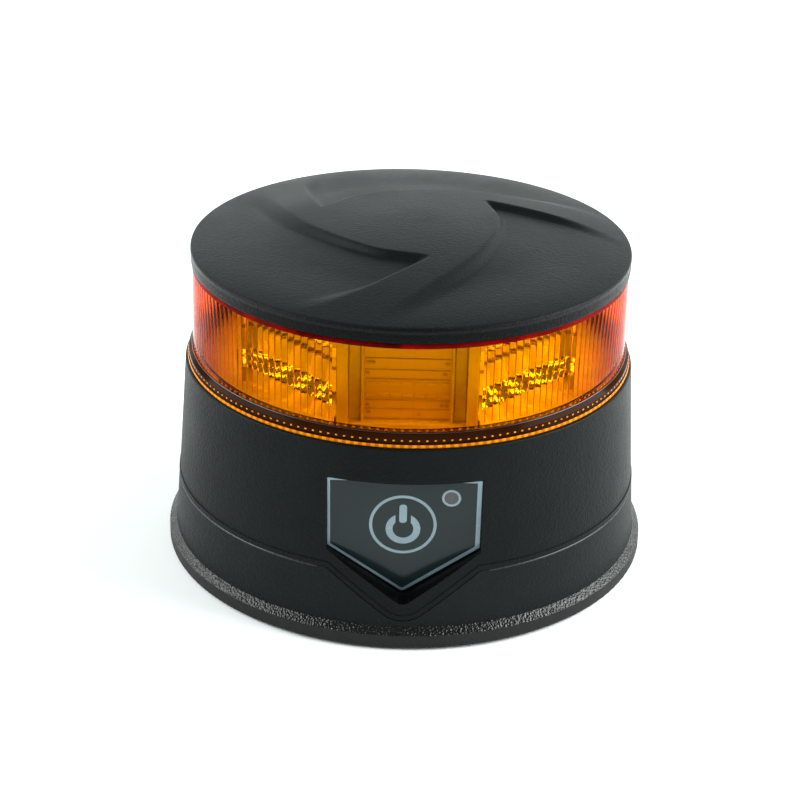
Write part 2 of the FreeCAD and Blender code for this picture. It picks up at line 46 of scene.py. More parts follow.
# ---------------------------------------------------------------- dimensions in mm, as in the CAD
RIM_R, RIM_Z, DRAFT = 61.9, 55.8, 1 / 15
CAP_R, CAP_Z, CAP_EDGE_Z, DOME = 60.0, 84.0, 88.3, 7.7
LENS_R, LENS_WALL = 59.75, 2.2
PANEL_TOP_Z, PANEL_TOP_Y, PANEL_TILT = 46.3, -59.3, math.radians(2.5)
KEY_DROP = 13.7
PARTING_Z = 21.0
MODULES = 8

# dimensions in mm of pieces that only the looks have
FLUTES = 180             # flutes inside the lens, and beads and teeth round its flange
FLUTE_PITCH = math.radians(360 / FLUTES)
FRONT = -math.pi / 2     # angle of the control panel about the axis
WINDOW_HALF = math.radians(18.0)
HOLLOW_DEPTH, HOLLOW_FADE = 1.7, 24.0
MODULE_LOW, MODULE_HIGH = 53.6, 81.0
MODULE_BACK = 39.7
KEY_CENTRE = (-0.35, KEY_DROP - 0.05)
LIGHT_CENTRE = (12.0, 5.4)
PRINT_HIGH = 0.03        # how far the printed lines stand out of the panel
SOFTBOX_TINT = (0.94, 1.0, 0.985)


# ---------------------------------------------------------------- camera
def make_camera():
    """Long-lens camera a little above the beacon, looking down at its front."""
    elevation, roll, yaw, pitch = (math.radians(v) for v in (25.22, 1.44, -0.20, -0.24))
    aim_height, distance = 0.0431, 0.59147
    right = np.array([1.0, 0.0, 0.0])
    up = np.array([0.0, math.sin(elevation), math.cos(elevation)])
    ahead = np.array([0.0, math.cos(elevation), -math.sin(elevation)])
    place = np.array([0.0, 0.0, aim_height]) - ahead * distance
    yawed_right = right * math.cos(yaw) - ahead * math.sin(yaw)
    yawed_ahead = right * math.sin(yaw) + ahead * math.cos(yaw)
    pitched_up = up * math.cos(pitch) - yawed_ahead * math.sin(pitch)
    view_ahead = up * math.sin(pitch) + yawed_ahead * math.cos(pitch)
    view_right = yawed_right * math.cos(roll) + pitched_up * math.sin(roll)
    view_up = -yawed_right * math.sin(roll) + pitched_up * math.cos(roll)
    data = bpy.data.cameras.new("camera")
    data.lens, data.sensor_width, data.sensor_fit = 94.5, 36.0, "HORIZONTAL"
    data.clip_start, data.clip_end = 0.01, 50.0
    cam = bpy.data.objects.new("camera", data)
    basis = np.array([view_right, view_up, -view_ahead]).T
    rows = [[*basis[i], place[i]] for i in range(3)]
    cam.matrix_world = Matrix([*rows, [0, 0, 0, 1]])
    bpy.context.scene.collection.objects.link(cam)
    bpy.context.scene.camera = cam


make_camera()


# ---------------------------------------------------------------- node helpers
class Shader:
    """A Principled material with helpers for building its procedural inputs."""

    def __init__(self, name, **settings):
        self.m = bpy.data.materials.new(name)
        self.m.use_nodes = True
        self.t = self.m.node_tree
        self.bsdf = next(n for n in self.t.nodes if n.type == "BSDF_PRINCIPLED")
        self.out = next(n for n in self.t.nodes if n.type == "OUTPUT_MATERIAL")
        self.coord = None
        for key, value in settings.items():
            self.bsdf.inputs[key.replace("_", " ")].default_value = value

    def node(self, kind, inputs=(), **attributes):
        n = self.t.nodes.new("ShaderNode" + kind)
        for key, value in attributes.items():
            setattr(n, key, value)
        for key, value in dict(inputs).items():
            if isinstance(value, bpy.types.NodeSocket):
                self.t.links.new(value, n.inputs[key])
            else:
                n.inputs[key].default_value = value
        return n

    def place(self):
        if self.coord is None:
            self.coord = self.node("TexCoord").outputs["Object"]
        return self.coord

    def noise(self, scale, detail=3.0, rough=0.55, distortion=0.0, stretch=None):
        where = self.place()
        if stretch:
            where = self.node("Mapping", {"Vector": where, "Scale": stretch}).outputs[0]
        n = self.node("TexNoise", {"Vector": where, "Scale": scale, "Detail": detail,
                                   "Roughness": rough, "Distortion": distortion})
        return n.outputs[0]

    def math(self, operation, *values, clamp=False):
        n = self.node("Math", dict(enumerate(values)), operation=operation)
        n.use_clamp = clamp
        return n.outputs[0]

    def fit(self, value, low, high, to_low=0.0, to_high=1.0):
        n = self.node("MapRange", {"Value": value, "From Min": low, "From Max": high,
                                   "To Min": to_low, "To Max": to_high})
        return n.outputs[0]

    def colours(self, fac, first, second):
        n = self.node("Mix", {0: fac}, data_type="RGBA")
        for socket, value in ((6, first), (7, second)):
            if isinstance(value, bpy.types.NodeSocket):
                self.t.links.new(value, n.inputs[socket])
            else:
                n.inputs[socket].default_value = (*value, 1.0)
        return n.outputs[2]

    def bump(self, height, distance, strength=1.0, under=None):
        n = self.node("Bump", {"Height": height, "Distance": distance, "Strength": strength})
        if under is not None:
            self.t.links.new(under, n.inputs["Normal"])
        return n.outputs[0]

    def set(self, **links):
        for key, value in links.items():
            socket = self.bsdf.inputs[key.replace("_", " ")]
            if isinstance(value, bpy.types.NodeSocket):
                self.t.links.new(value, socket)
            else:
                socket.default_value = value
        return self

    def xyz(self):
        return self.node("SeparateXYZ", {0: self.place()}).outputs


# ---------------------------------------------------------------- materials
def pocket_shade_mask(s):
    """1 on the walls of the panel pocket, which lie behind the drafted skin in front, and 0 elsewhere; it
    masks the painted shade of the pocket.
    """
    x, y, z = s.xyz()
    radius = s.math("SQRT", s.math("ADD", s.math("MULTIPLY", x, x), s.math("MULTIPLY", y, y)))
    skin = s.math("SUBTRACT", (RIM_R + RIM_Z * DRAFT) * MM, s.math("MULTIPLY", z, DRAFT))
    inside = s.fit(s.math("SUBTRACT", skin, radius), 0.00012, 0.0003)
    front = s.fit(y, -0.0540, -0.0541)
    mid_height = s.math("MULTIPLY", s.fit(z, 0.0475, 0.0470), s.fit(z, 0.0100, 0.0105))
    return s.math("MULTIPLY", s.math("MULTIPLY", inside, front), mid_height)


def moulded_plastic(name, dark, light, grain=1500.0, depth=0.00004, rough=(0.45, 0.62), pocket=False,
                    glossy_shaded_below=None):
    """Moulded plastic with a spark-eroded grain and faint mottling.

    The walls of the panel pocket can be smooth and darker, the darkness being painted shade of the recess,
    and so can all that lies below a height in metres, where the darkness is painted shade on that side.
    """
    s = Shader(name, Specular_IOR_Level=0.07)
    cloud = s.noise(45.0, 4.0)
    fine = s.noise(grain, 2.5, 0.6)
    coarse = s.noise(grain * 0.45, 2.0)
    colour = s.colours(s.fit(cloud, 0.3, 0.7), dark, light)
    colour = s.colours(s.fit(fine, 0.56, 0.72, 0.0, 0.5), colour, [v * 1.9 for v in light])
    roughness = s.fit(s.math("ADD", s.math("MULTIPLY", cloud, 0.6), s.math("MULTIPLY", fine, 0.4)),
                      0.35, 0.65, *rough)
    height = s.math("ADD", fine, s.math("MULTIPLY", coarse, 0.7))
    if pocket:
        # Painted shade: the walls of the panel pocket get a near-black colour, as well as less roughness and
        # no grain.
        shade_mask = pocket_shade_mask(s)
        colour = s.colours(shade_mask, colour, (0.0022, 0.0024, 0.0024))
        roughness = s.math("ADD", s.math("MULTIPLY", roughness, s.math("SUBTRACT", 1.0, shade_mask)),
                           s.math("MULTIPLY", shade_mask, 0.22))
        height = s.math("MULTIPLY", height, s.math("SUBTRACT", 1.0, shade_mask))
    if glossy_shaded_below:
        # Painted shade: all below the height gets a darker colour, besides less roughness and more bump.
        side = s.fit(s.xyz()[2], glossy_shaded_below + 0.0003, glossy_shaded_below - 0.0002)
        colour = s.colours(side, colour, (0.0020, 0.0026, 0.0027))
        roughness = s.math("SUBTRACT", roughness, s.math("MULTIPLY", side, 0.12))
        height = s.math("MULTIPLY", height, s.math("ADD", 1.0, s.math("MULTIPLY", side, 1.6)))
    s.set(Base_Color=colour, Roughness=roughness, Normal=s.bump(height, depth))
    return s.m


def foot_rubber():
    """Rubber of the foot: a coarse glossy grain on its sloping top, finer on the edge and underneath."""
    s = Shader("foot_rubber", Specular_IOR_Level=0.30)
    x, y, z = s.xyz()
    slope = s.math("MULTIPLY", s.fit(z, 0.00415, 0.0043), s.fit(z, 0.0066, 0.0062))
    cells = s.node("TexVoronoi", {"Vector": s.place(), "Scale": 1500.0, "Randomness": 1.0}).outputs[0]
    lumps = s.noise(1500.0, 2.0)
    fine = s.noise(3000.0, 2.0)
    coarse_height = s.math("ADD", s.math("MULTIPLY", cells, 0.9), s.math("MULTIPLY", lumps, 0.8))
    height = s.math("ADD", s.math("MULTIPLY", coarse_height, slope),
                    s.math("MULTIPLY", s.math("MULTIPLY", fine, 0.22), s.math("SUBTRACT", 1.0, slope)))
    colour = s.colours(slope, (0.0024, 0.0030, 0.0031), (0.0026, 0.0032, 0.0028))
    roughness = s.math("ADD", s.math("MULTIPLY", slope, -0.38), s.fit(s.noise(60.0), 0.3, 0.7, 0.56, 0.66))
    s.set(Base_Color=colour, Roughness=roughness, Normal=s.bump(height, 0.00022))
    return s.m


def amber_clear():
    """Clear amber plastic: the longer the light's way through it, the redder it looks."""
    s = Shader("amber_clear", Transmission_Weight=1.0, IOR=1.065, Specular_IOR_Level=0.12,
               Specular_Tint=(1.0, 0.30, 0.01, 1.0))
    scuffs = s.noise(300.0, 6.0, 0.7, stretch=(1.0, 1.0, 0.25))
    s.set(Base_Color=(1.0, 0.97, 0.60, 1.0), Roughness=s.fit(scuffs, 0.45, 0.8, 0.012, 0.07))
    s.set(Normal=s.bump(s.noise(90.0, 2.0), 0.00001))
    absorb = s.node("VolumeAbsorption", {"Color": (0.985, 0.84, 0.0, 1.0), "Density": 1500.0})
    s.t.links.new(absorb.outputs[0], s.out.inputs["Volume"])
    lamp_ray = s.node("LightPath").outputs["Is Shadow Ray"]
    through = s.node("BsdfTransparent", {"Color": (1.0, 0.92, 0.50, 1.0)}).outputs[0]
    mixed = s.node("MixShader", {0: lamp_ray, 1: s.bsdf.outputs[0], 2: through}).outputs[0]
    s.t.links.new(mixed, s.out.inputs["Surface"])
    return s.m


def gloss(name, dark, light, rough=(0.08, 0.2), scale=400.0, depth=0.00001, metallic=0.0, **settings):
    """Smooth moulded or plated surface with faint unevenness, smears and colour drift."""
    s = Shader(name, Metallic=metallic, **settings)
    cloud = s.noise(scale * 0.2, 4.0)
    fine = s.noise(scale, 5.0, 0.65)
    s.set(Base_Color=s.colours(s.fit(cloud, 0.3, 0.7), dark, light),
          Roughness=s.fit(fine, 0.35, 0.7, *rough), Normal=s.bump(fine, depth))
    return s.m


def brushed(name, dark, light, rough=(0.25, 0.42)):
    """Turned or rolled metal with fine parallel marks."""
    s = Shader(name, Metallic=1.0)
    lines = s.noise(500.0, 4.0, 0.6, stretch=(0.15, 1.0, 4.0))
    s.set(Base_Color=s.colours(s.fit(lines, 0.3, 0.7), dark, light),
          Roughness=s.fit(lines, 0.3, 0.7, *rough), Normal=s.bump(lines, 0.00002))
    return s.m


def circuit(name, dark, light):
    """Solder-masked circuit board with faint copper tracks under the mask."""
    s = Shader(name, Specular_IOR_Level=0.5)
    brick = s.node("TexBrick", {"Vector": s.place(), "Scale": 260.0, "Mortar Size": 0.012,
                                "Brick Width": 0.9, "Row Height": 0.35})
    s.set(Base_Color=s.colours(s.math("MULTIPLY", brick.outputs["Fac"], 0.7), dark, light),
          Roughness=s.fit(s.noise(700.0, 4.0), 0.3, 0.7, 0.28, 0.42),
          Normal=s.bump(brick.outputs["Fac"], 0.00002))
    return s.m


# The housing's panel pocket walls carry a painted shade.
HOUSING = moulded_plastic("housing_plastic", (0.0038, 0.0048, 0.0049), (0.0058, 0.0072, 0.0073), pocket=True,
                          grain=1900.0, depth=0.00019, rough=(0.36, 0.48))
# The cap's side wall below its edge is painted darker, as shade.
CAP = moulded_plastic("cap_plastic", (0.0036, 0.0046, 0.0048), (0.0056, 0.0070, 0.0072), grain=2300.0,
                      depth=0.00011, rough=(0.34, 0.46), glossy_shaded_below=0.0880)
EDGE = gloss("polished_edge", (0.006, 0.007, 0.007), (0.010, 0.0115, 0.0115), rough=(0.18, 0.34),
             scale=1500.0, depth=0.00004, Specular_IOR_Level=0.45)
# The cap edge colour is darker than the cap top, a painted shade like the side wall below it.
CAP_EDGE = gloss("cap_edge", (0.002, 0.0026, 0.0027), (0.004, 0.005, 0.005), rough=(0.18, 0.34), scale=1700.0,
                 depth=0.00024, Specular_IOR_Level=0.13)
SKIRT = moulded_plastic("skirt_plastic", (0.0060, 0.0074, 0.0075), (0.0085, 0.0102, 0.0103), grain=1900.0,
                        depth=0.00019, rough=(0.36, 0.48))
RUBBER = foot_rubber()
AMBER = amber_clear()
FLANGE = gloss("amber_flange", (0.018, 0.0048, 0.0012), (0.030, 0.0078, 0.0017), rough=(0.08, 0.18),
               Specular_IOR_Level=0.02)
GROOVE_RED = gloss("amber_groove", (0.40, 0.05, 0.001), (0.55, 0.08, 0.001), rough=(0.3, 0.5), scale=900.0,
                   Specular_IOR_Level=0.1)
ROOT = gloss("amber_root", (0.010, 0.0035, 0.0015), (0.020, 0.006, 0.002), rough=(0.04, 0.10),
             Specular_IOR_Level=0.6)
BEAD = gloss("amber_bead", (0.66, 0.19, 0.001), (0.85, 0.30, 0.002), rough=(0.2, 0.4), scale=900.0,
             Specular_IOR_Level=0.04)
BEAD_DEEP = gloss("amber_bead_deep", (0.46, 0.09, 0.001), (0.60, 0.14, 0.001), rough=(0.2, 0.4), scale=900.0,
                  Specular_IOR_Level=0.04)
RIM_RED = gloss("amber_rim", (0.008, 0.0003, 0.0002), (0.22, 0.0018, 0.0003), rough=(0.10, 0.25), scale=700.0,
                depth=0.0001, Specular_IOR_Level=0.02)
REFLECTOR = gloss("reflector", (0.90, 0.98, 0.60), (0.94, 0.99, 0.70), rough=(0.12, 0.22), scale=700.0,
                  depth=0.000012, metallic=1.0)
SATIN = gloss("reflector_satin", (0.54, 0.54, 0.30), (0.70, 0.70, 0.40), rough=(0.25, 0.4), scale=600.0)
# Painted shade for the groove in the reflector walls.
GROOVE_SHADE = gloss("reflector_groove_shade", (0.20, 0.17, 0.06), (0.28, 0.24, 0.09), rough=(0.3, 0.5), scale=600.0)
FRAME_WHITE = gloss("module_white", (0.66, 0.60, 0.50), (0.76, 0.70, 0.60), rough=(0.22, 0.38), scale=600.0)
SOLDER = gloss("module_parts", (0.46, 0.37, 0.24), (0.58, 0.46, 0.32), rough=(0.25, 0.4), scale=900.0)
PANEL_FILM = gloss("panel_film", (0.010, 0.0165, 0.018), (0.0125, 0.020, 0.0215), rough=(0.12, 0.19),
                   scale=260.0, depth=0.000004, Specular_IOR_Level=0.22)
PRINT = gloss("panel_print", (0.185, 0.255, 0.300), (0.215, 0.290, 0.335), rough=(0.18, 0.3), scale=900.0)
WINDOW = gloss("light_window", (0.042, 0.038, 0.039), (0.052, 0.047, 0.047), rough=(0.12, 0.2))
SILICONE = gloss("silicone", (0.18, 0.18, 0.185), (0.23, 0.23, 0.235), rough=(0.4, 0.55), depth=0.00003)
STEEL = brushed("steel", (0.42, 0.42, 0.43), (0.60, 0.60, 0.61))
BLACK_STEEL = brushed("black_steel", (0.03, 0.03, 0.032), (0.07, 0.07, 0.075))
ALUMINIUM = brushed("aluminium", (0.62, 0.62, 0.62), (0.80, 0.80, 0.80))
PLATED = gloss("plated", (0.70, 0.70, 0.70), (0.80, 0.80, 0.79), rough=(0.12, 0.25), metallic=1.0)
BOARD = circuit("circuit_board", (0.006, 0.055, 0.022), (0.020, 0.120, 0.045))
WHITE_BOARD = circuit("white_board", (0.76, 0.62, 0.50), (0.66, 0.52, 0.40))
SLEEVE = gloss("cell_sleeve", (0.012, 0.060, 0.210), (0.020, 0.080, 0.260), rough=(0.2, 0.35))
RED_WIRE = gloss("red_wire", (0.30, 0.010, 0.008), (0.38, 0.014, 0.010), rough=(0.35, 0.5))
BLACK_WIRE = gloss("black_wire", (0.010, 0.010, 0.010), (0.016, 0.016, 0.016), rough=(0.35, 0.5))
MOULDED = gloss("component", (0.012, 0.012, 0.013), (0.022, 0.022, 0.024), rough=(0.35, 0.55), depth=0.00003)
EMITTER = gloss("emitter", (0.75, 0.50, 0.06), (0.85, 0.62, 0.10), rough=(0.1, 0.25))
TRAY = moulded_plastic("tray_plastic", (0.025, 0.025, 0.027), (0.040, 0.040, 0.043))

CAD_LOOKS = {
    "housing": HOUSING, "base_skirt": SKIRT, "base_plate": HOUSING, "foot_ring": RUBBER, "foot_pad": RUBBER,
    "led_tower": ALUMINIUM, "tower_screws": STEEL, "cap_screws": STEEL, "cap_seal": SILICONE,
    "lens_seal": SILICONE, "panel_seal": SILICONE, "base_seal": SILICONE, "driver_board": BOARD,
    "driver_components": MOULDED, "driver_screws": STEEL, "lamp_leads": BLACK_WIRE, "battery_leads": RED_WIRE,
    "panel_leads": BLACK_WIRE, "charge_leads": RED_WIRE, "switch_board": BOARD, "switch_board_screws": STEEL,
    "tact_switch": MOULDED, "switch_plunger": MOULDED, "status_led": EMITTER, "status_light_pipe": WINDOW,
    "battery_cells": SLEEVE, "cell_tabs": PLATED, "battery_tray": TRAY, "battery_screws": STEEL,
    "charge_socket": PLATED, "charge_board": BOARD, "port_cover": RUBBER, "port_hinge_pin": STEEL,
    "base_screws": BLACK_STEEL, "magnets": PLATED, "keeper_plate": STEEL, "led_emitters": EMITTER,
    "top_cap": CAP, "lens": AMBER, "panel_plate": PANEL_FILM, "power_key": PANEL_FILM,
}


def paint_cad():
    for name, obj in NODES.items():
        look = CAD_LOOKS.get(name)
        if look is None:
            look = WHITE_BOARD if name.startswith("led_board") else REFLECTOR
        if not obj.material_slots:
            obj.data.materials.append(look)
        for slot in obj.material_slots:
            slot.material = look


paint_cad()


# ---------------------------------------------------------------- mesh helpers
def add_mesh(name, verts, faces, looks, face_looks=None, smooth=True, replaces=(), body="beacon"):
    """New piece from verts in mm; it rides on a body and may stand for CAD nodes."""
    mesh = bpy.data.meshes.new(name)
    mesh.from_pydata([(x * MM, y * MM, z * MM) for x, y, z in verts], [], faces)
    for look in looks:
        mesh.materials.append(look)
    if face_looks is not None:
        mesh.polygons.foreach_set("material_index", np.asarray(face_looks, dtype=np.int32))
    mesh.polygons.foreach_set("use_smooth", [smooth] * len(mesh.polygons))
    mesh.validate()
    mesh.update()
    obj = bpy.data.objects.new(name, mesh)
    bpy.context.scene.collection.objects.link(obj)
    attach(obj, body)
    if replaces:
        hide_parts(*replaces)
    return obj


def sharpen(obj, degrees=35.0):
    """Marks the edges that turn more than this as sharp, and leaves the rest smooth."""
    bm = bmesh.new()
    bm.from_mesh(obj.data)
    limit = math.radians(degrees)
    for e in bm.edges:
        e.smooth = not (len(e.link_faces) == 2 and e.calc_face_angle(0.0) > limit)
    bm.to_mesh(obj.data)
    bm.free()
    obj.data.update()


def grid_faces(rows, columns, wrap=True, start=0):
    """Quads over a grid of vertices stored row by row, each row running round the axis."""
    faces = []
    for i in range(rows - 1):
        for j in range(columns if wrap else columns - 1):
            k = (j + 1) % columns
            a, b = start + i * columns, start + (i + 1) * columns
            faces.append((a + j, a + k, b + k, b + j))
    return faces


def corner(before, point, after, radius, steps):
    """Points of the curve that rounds one corner of an outline."""
    p = np.array(point, float)
    a, b = np.array(before, float) - p, np.array(after, float) - p
    a, b = a / np.linalg.norm(a), b / np.linalg.norm(b)
    half = math.acos(max(-1.0, min(1.0, float(a @ b)))) / 2
    reach = radius / math.tan(half)
    out = []
    for t in np.linspace(0, 1, steps + 1):
        q = (1 - t) ** 2 * (p + a * reach) + 2 * t * (1 - t) * p + t ** 2 * (p + b * reach)
        out.append((float(q[0]), float(q[1])))
    return out


def rounded(profile, steps=5):
    """Open profile of (r, z, corner radius), its ends left as they are."""
    out = []
    for i, (r, z, radius) in enumerate(profile):
        if radius and 0 < i < len(profile) - 1:
            out += corner(profile[i - 1][:2], (r, z), profile[i + 1][:2], radius, steps)
        else:
            out.append((r, z))
    return out


def round_corners(points, radii, steps=8):
    """Closed outline with a radius for each corner."""
    out = []
    for i, (point, radius) in enumerate(zip(points, radii)):
        out += corner(points[i - 1], point, points[(i + 1) % len(points)], radius, steps)
    return out


def revolve(profile, segments=360):
    """Vertices and faces of a ring or a dish swept round the axis from (r, z) points."""
    a = np.linspace(0, 2 * math.pi, segments, endpoint=False)
    verts = [(r * c, r * s, z) for r, z in profile for c, s in zip(np.cos(a), np.sin(a))]
    return verts, grid_faces(len(profile), segments)


def revolve_closed(profile, segments=360):
    """The same, with the profile's last point joined to its first, which makes a solid ring."""
    verts, faces = revolve(profile, segments)
    last = (len(profile) - 1) * segments
    faces += [(last + j, last + (j + 1) % segments, (j + 1) % segments, j) for j in range(segments)]
    return verts, faces


def ramp(x):
    """Smooth step from 0 to 1 as x goes from 0 to 1."""
    x = np.clip(x, 0, 1)
    return x * x * (3 - 2 * x)


# ---------------------------------------------------------------- cap
def curve_points(points, steps=12):
    """Smooth curve through points (Catmull-Rom), with the same number of steps between each two."""
    p = np.array(points, float)
    p = np.vstack([2 * p[0] - p[1], p, 2 * p[-1] - p[-2]])
    out = []
    for i in range(1, len(p) - 2):
        for t in np.linspace(0, 1, steps, endpoint=False):
            a, b, c, d = p[i - 1:i + 3]
            out.append(0.5 * (2 * b + (c - a) * t + (2 * a - 5 * b + 4 * c - d) * t ** 2
                              + (3 * b - a - 3 * c + d) * t ** 3))
    out.append(p[-2])
    return np.array(out)


def side_distance(xy, line):
    """Signed distance from each point to a polyline (left of it is positive), and how far along it.

    The first and last stretches reach on past the line's ends.
    """
    past_end = 4.0
    best = np.full(len(xy), np.inf)
    signed = np.zeros(len(xy))
    along = np.zeros(len(xy))
    n = len(line) - 1
    for i in range(n):
        a, b = line[i], line[i + 1]
        d = b - a
        length2 = float(d @ d)
        t = ((xy - a) @ d) / length2
        low = -past_end if i == 0 else 0.0
        high = past_end if i == n - 1 else 1.0
        t = np.clip(t, low, high)
        q = a + t[:, None] * d
        off = xy - q
        dist = np.hypot(off[:, 0], off[:, 1])
        side = np.sign(d[0] * (xy[:, 1] - a[1]) - d[1] * (xy[:, 0] - a[0]))
        take = dist < best
        best[take] = dist[take]
        signed[take] = (dist * side)[take]
        along[take] = ((i + np.clip(t, 0, 1)) / n)[take]
    return signed, along


# the two edges of one hollow in plan, from the tip that they share outwards
LONG_EDGE = [(3.6, -26.3), (-4.2, -24.6), (-8, -23.4), (-12.5, -20.9), (-19, -16.0), (-27.2, -7.5),
             (-33, 0.8), (-39.5, 14.5), (-44.3, 27.0), (-47.0, 38.0)]
SHORT_EDGE = [(3.6, -26.3), (-3, -33), (-10.5, -40), (-18.0, -44.6), (-26.4, -48.8), (-34, -51.6)]


def hollow_depth(x, y):
    """Depth of the swirl's three hollows below the dome, with edges that get softer away from the tip."""
    deep = np.zeros_like(x)
    long_line, short_line = curve_points(LONG_EDGE), curve_points(SHORT_EDGE)
    for k in range(3):
        a = -k * 2 * math.pi / 3
        xy = np.column_stack([x * math.cos(a) - y * math.sin(a), x * math.sin(a) + y * math.cos(a)])
        d_long, s_long = side_distance(xy, long_line)
        d_short, s_short = side_distance(xy, short_line)
        long_slope = 2.0 + 5.2 * ramp((s_long - 0.25) / 0.75)
        short_slope = 2.8 + 3.6 * ramp((s_short - 0.3) / 0.7)
        inside = ramp(0.5 + d_long / long_slope) * ramp(0.5 - d_short / short_slope)
        fade = ramp((CAP_R - np.hypot(x, y)) / HOLLOW_FADE)
        deep = np.maximum(deep, inside * fade * HOLLOW_DEPTH)
    return deep


def make_cap():
    """Domed cap: three smooth hollows leave a raised three-armed swirl; rounded edge and short skirt."""
    segments = 600
    below_dome = 0.02
    radii = np.linspace(0.6, 59.2, 130)
    angle = np.linspace(0, 2 * math.pi, segments, endpoint=False)
    rr, aa = np.meshgrid(radii, angle, indexing="ij")
    x, y = rr * np.cos(aa), rr * np.sin(aa)
    z = CAP_EDGE_Z + DOME * (1 - (rr / CAP_R) ** 2) - below_dome
    z = z - hollow_depth(x.ravel(), y.ravel()).reshape(z.shape)
    verts = [(0.0, 0.0, float(CAP_EDGE_Z + DOME - below_dome))]
    verts += list(zip(x.ravel().tolist(), y.ravel().tolist(), z.ravel().tolist()))
    faces = [(0, 1 + j, 1 + (j + 1) % segments) for j in range(segments)]
    faces += [tuple(reversed(f)) for f in grid_faces(len(radii), segments, start=1)]
    edge_z = float(z[-1].mean())
    side = [(59.62, edge_z - 0.12), (59.84, edge_z - 0.33), (59.95, edge_z - 0.62), (59.99, edge_z - 1.0),
            (59.98, 86.0), (59.97, 84.6), (59.9, 84.25), (59.7, 84.05), (59.4, CAP_Z), (56.0, CAP_Z),
            (50.2, CAP_Z), (50.0, 84.3), (50.0, 86.4), (40.0, 88.9), (20.0, 91.2), (0.5, 91.8)]
    ring, _ = revolve(side, segments)
    first = 1 + (len(radii) - 1) * segments
    start = len(verts)
    verts += ring
    for j in range(segments):
        k = (j + 1) % segments
        faces.append((first + k, first + j, start + j, start + k))
    faces += [tuple(reversed(f)) for f in grid_faces(len(side), segments, start=start)]
    last = start + (len(side) - 1) * segments
    faces.append(tuple(last + j for j in range(segments)))
    cap = add_mesh("cap_shell", verts, faces, looks=[CAP], replaces=["top_cap"])
    sharpen(cap, 50)
    # The shoulder ring's darker colour is painted shade.
    shoulder = [(58.9, 88.52), (59.28, 88.43), (59.63, 88.27), (59.86, 88.02), (59.98, 87.68), (60.0, 87.2),
                (60.0, 86.8)]
    verts, faces = revolve(shoulder, 720)
    add_mesh("cap_shoulder", verts, [tuple(reversed(f)) for f in faces], looks=[CAP_EDGE])


# ---------------------------------------------------------------- lens
def off_front(a):
    """Angle away from the front, 0 to pi."""
    return np.abs((a - FRONT + math.pi) % (2 * math.pi) - math.pi)


def make_lens_wall():
    """Clear amber wall, fluted inside except for the plain window in front, with an inward lip on top."""
    steps = np.array([0.0, 0.05, 0.10, 0.17, 0.30, 0.5, 0.70, 0.83, 0.90, 0.95])
    segments = FLUTES * len(steps)
    phase = np.tile(steps, FLUTES)
    a = FRONT + (np.repeat(np.arange(FLUTES), len(steps)) + phase) * FLUTE_PITCH
    bulge = 0.35 * (1 - (2 * phase - 1) ** 2) + 0.65 * (1 - np.abs(2 * phase - 1) ** 9)
    fluted = ramp((off_front(a) - WINDOW_HALF) / math.radians(0.6))
    inner, flute_high = LENS_R - LENS_WALL, 0.3
    valley = inner + 0.35
    outer = [(59.6, 59.75), (LENS_R, 60.1), (LENS_R, 62.0), (LENS_R - 0.05, 72.0), (LENS_R - 0.10, 82.75),
             (LENS_R - 0.12, 83.7), (LENS_R - 0.3, 83.95)]
    lip = [(50.2, 83.95), (50.2, 82.1), (inner - 1.2, 82.1)]
    rows = []
    for r, z in outer + lip:
        rows.append((np.full(segments, r), np.full(segments, z)))
    top, round_below = 82.1, 62.3
    for z in (top, top - 0.3, 76.0, 70.0, 65.0, 63.0, round_below, 61.8, 61.4, 61.1):
        end = math.sqrt(max(0.0, 1 - max(0.0, (round_below - z) / 1.25) ** 2)) if z < round_below else 1.0
        if z == top:
            end = 0.6
        rows.append((valley - flute_high * bulge * fluted * end, np.full(segments, z)))
    for z in (60.6, 59.75):
        rows.append((np.full(segments, valley), np.full(segments, z)))
    verts = []
    for r, z in rows:
        verts += list(zip((r * np.cos(a)).tolist(), (r * np.sin(a)).tolist(), z.tolist()))
    faces = grid_faces(len(rows), segments)
    last = (len(rows) - 1) * segments
    for j in range(segments):
        k = (j + 1) % segments
        faces.append((last + j, last + k, k, j))
    looks = np.zeros(len(faces), dtype=int)
    rim_rows, flute_rows = slice(4 * segments, 7 * segments), np.arange(11, 20)[:, None] * segments
    looks[rim_rows] = 1
    groove = np.flatnonzero(((phase < 0.03) | (phase > 0.94)) & (fluted > 0.5))
    looks[(flute_rows + groove[None, :]).ravel()] = 2
    wall = add_mesh("lens_wall", verts, faces, looks=[AMBER, RIM_RED, GROOVE_RED],
                    face_looks=looks, replaces=["lens"])
    sharpen(wall, 40)


def make_lens_foot():
    """Stepped flange that the housing clamps, and the glossy bead at the foot of the wall."""
    profile = rounded([(57.3, 59.7, 0), (59.85, 59.7, 0.05), (60.0, 59.45, 0.1), (60.95, 58.55, 0.25),
                       (61.0, 57.45, 0.12), (60.72, 57.2, 0.1), (61.15, 57.0, 0.15), (61.15, 55.9, 0.15),
                       (60.9, 55.75, 0.1), (56.4, 55.7, 0), (56.4, 57.2, 0.2), (57.3, 57.6, 0)], 4)
    verts, faces = revolve_closed(profile, 720)
    sharpen(add_mesh("lens_flange", verts, faces, looks=[FLANGE]), 40)
    bead = [(60.0 + 0.16 * math.cos(t), 59.68 + 0.16 * math.sin(t)) for t in np.linspace(-1.2, 2.6, 9)]
    verts, faces = revolve(bead, 720)
    add_mesh("lens_root", verts, faces, looks=[ROOT])


